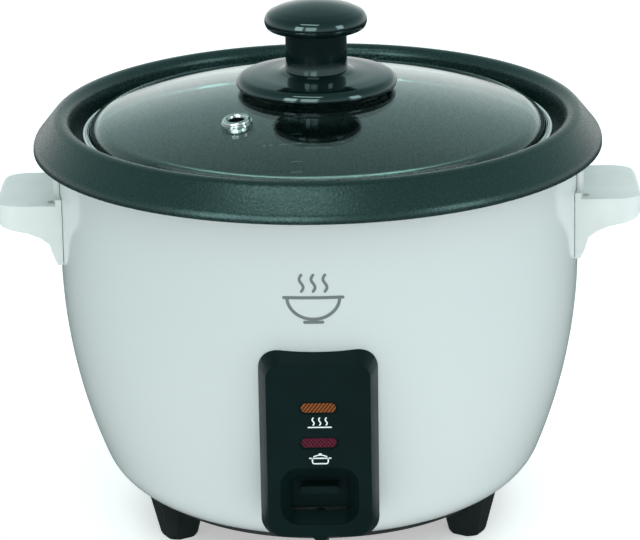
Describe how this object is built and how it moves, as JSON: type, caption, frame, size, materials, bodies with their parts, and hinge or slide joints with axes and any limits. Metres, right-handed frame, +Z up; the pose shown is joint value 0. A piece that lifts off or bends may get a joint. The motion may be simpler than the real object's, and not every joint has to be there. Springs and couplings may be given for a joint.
{
  "type": "rice cooker",
  "caption": "Drum rice cooker: white body on feet, side handles, lift-out pot with black rim, glass lid with knob and steam vent, lever switch.",
  "frame": {"origin": "floor level under the centre of the drum", "axes": "+Z up along the drum's axis, -Y towards the control panel, +X to the right seen from the front"},
  "size_m": [0.252, 0.222, 0.208],
  "materials": {
    "white_enamel": "gloss",
    "liner_steel": "satin",
    "base_black": "matte",
    "zinc_steel": "satin",
    "foot_black": "matte",
    "white_plastic": "gloss",
    "panel_black": "gloss",
    "amber_lens": "gloss",
    "red_lens": "gloss",
    "board_brown": "matte",
    "lamp_glass": "gloss",
    "switch_black": "matte",
    "plunger_red": "matte",
    "cast_aluminium": "cast",
    "element_steel": "oxidised",
    "cap_aluminium": "satin",
    "ferrite": "matte",
    "spring_steel": "satin",
    "ceramic_tan": "matte",
    "fuse_white": "matte",
    "pin_brass": "satin",
    "wire_brown": "satin",
    "wire_blue": "satin",
    "wire_green": "satin",
    "wire_white": "satin",
    "nonstick_black": "non-stick coated",
    "lid_glass": "gloss",
    "ring_steel": "polished",
    "vent_chrome": "polished",
    "knob_black": "gloss",
    "gasket_silicone": "matte"
  },
  "bodies": {
    "base": {"outer_shell": "white_enamel", "inner_liner": "liner_steel", "base_cover": "base_black", "base_screws": "zinc_steel", "foot_front_left": "foot_black", "foot_front_right": "foot_black", "foot_rear": "foot_black", "foot_screws": "zinc_steel", "handle_left": "white_plastic", "handle_right": "white_plastic", "handle_screws": "zinc_steel", "front_panel": "panel_black", "panel_screws": "zinc_steel", "warm_lens": "amber_lens", "cook_lens": "red_lens", "lamp_board": "board_brown", "indicator_lamps": "lamp_glass", "lever_pin": "zinc_steel", "lever_bracket": "zinc_steel", "bracket_screws": "zinc_steel", "micro_switch": "switch_black", "switch_screws": "zinc_steel", "heating_plate": "cast_aluminium", "heating_element": "element_steel", "plate_screws": "zinc_steel", "thermostat_housing": "zinc_steel", "housing_screws": "zinc_steel", "keep_warm_thermostat": "ceramic_tan", "thermal_fuse": "fuse_white", "fuse_clip": "zinc_steel", "inlet_housing": "base_black", "inlet_pins": "pin_brass", "inlet_screws": "zinc_steel", "line_wire": "wire_brown", "neutral_wire": "wire_blue", "earth_wire": "wire_green", "lamp_wire": "wire_white"},
    "lever": {"lever_bar": "zinc_steel", "lever_knob": "panel_black"},
    "plunger": {"switch_plunger": "plunger_red"},
    "magnet_slide": {"magnet": "ferrite", "magnet_carrier": "zinc_steel", "return_spring": "spring_steel"},
    "sensor": {"sensor_cap": "cap_aluminium", "ferrite_disc": "ferrite", "sensor_spring": "spring_steel"},
    "pot": {"inner_pot": "nonstick_black"},
    "lid": {"lid_glass": "lid_glass", "lid_ring": "ring_steel", "steam_vent": "vent_chrome", "knob_base": "knob_black", "knob_grip": "knob_black", "knob_gasket": "gasket_silicone", "knob_washer": "ring_steel", "knob_screw": "ring_steel"}
  },
  "joints": [
    {"name": "pot_lift", "type": "slide", "parent": "base", "child": "pot", "axis": [0, 0, 1], "range_m": [0, 0.12]},
    {"name": "lid_lift", "type": "slide", "parent": "pot", "child": "lid", "axis": [0, 0, 1], "range_m": [0, 0.06]},
    {"name": "lever_press", "type": "hinge", "parent": "base", "child": "lever", "pos_m": [0, -0.058, 0.038], "axis": [1, 0, 0], "range_deg": [0, 5], "stiffness_Nm_per_rad": 0.3},
    {"name": "magnet_rise", "type": "slide", "parent": "base", "child": "magnet_slide", "axis": [0, 0, 1], "range_m": [0, 0.00486], "deforming": ["return_spring"]},
    {"name": "plunger_press", "type": "slide", "parent": "base", "child": "plunger", "axis": [0, 0, -1], "range_m": [0, 0.0011]},
    {"name": "sensor_rise", "type": "slide", "parent": "base", "child": "sensor", "axis": [0, 0, 1], "range_m": [0, 0.0025], "deforming": ["sensor_spring"]}
  ],
  "couplings": [
    {"joint": "magnet_rise", "follows": "lever_press", "m_per_rad": 0.055577},
    {"joint": "plunger_press", "follows": "lever_press", "m_per_rad": 0.012548},
    {"joint": "sensor_rise", "follows": "pot_lift", "ratio": 0.0208}
  ]
}
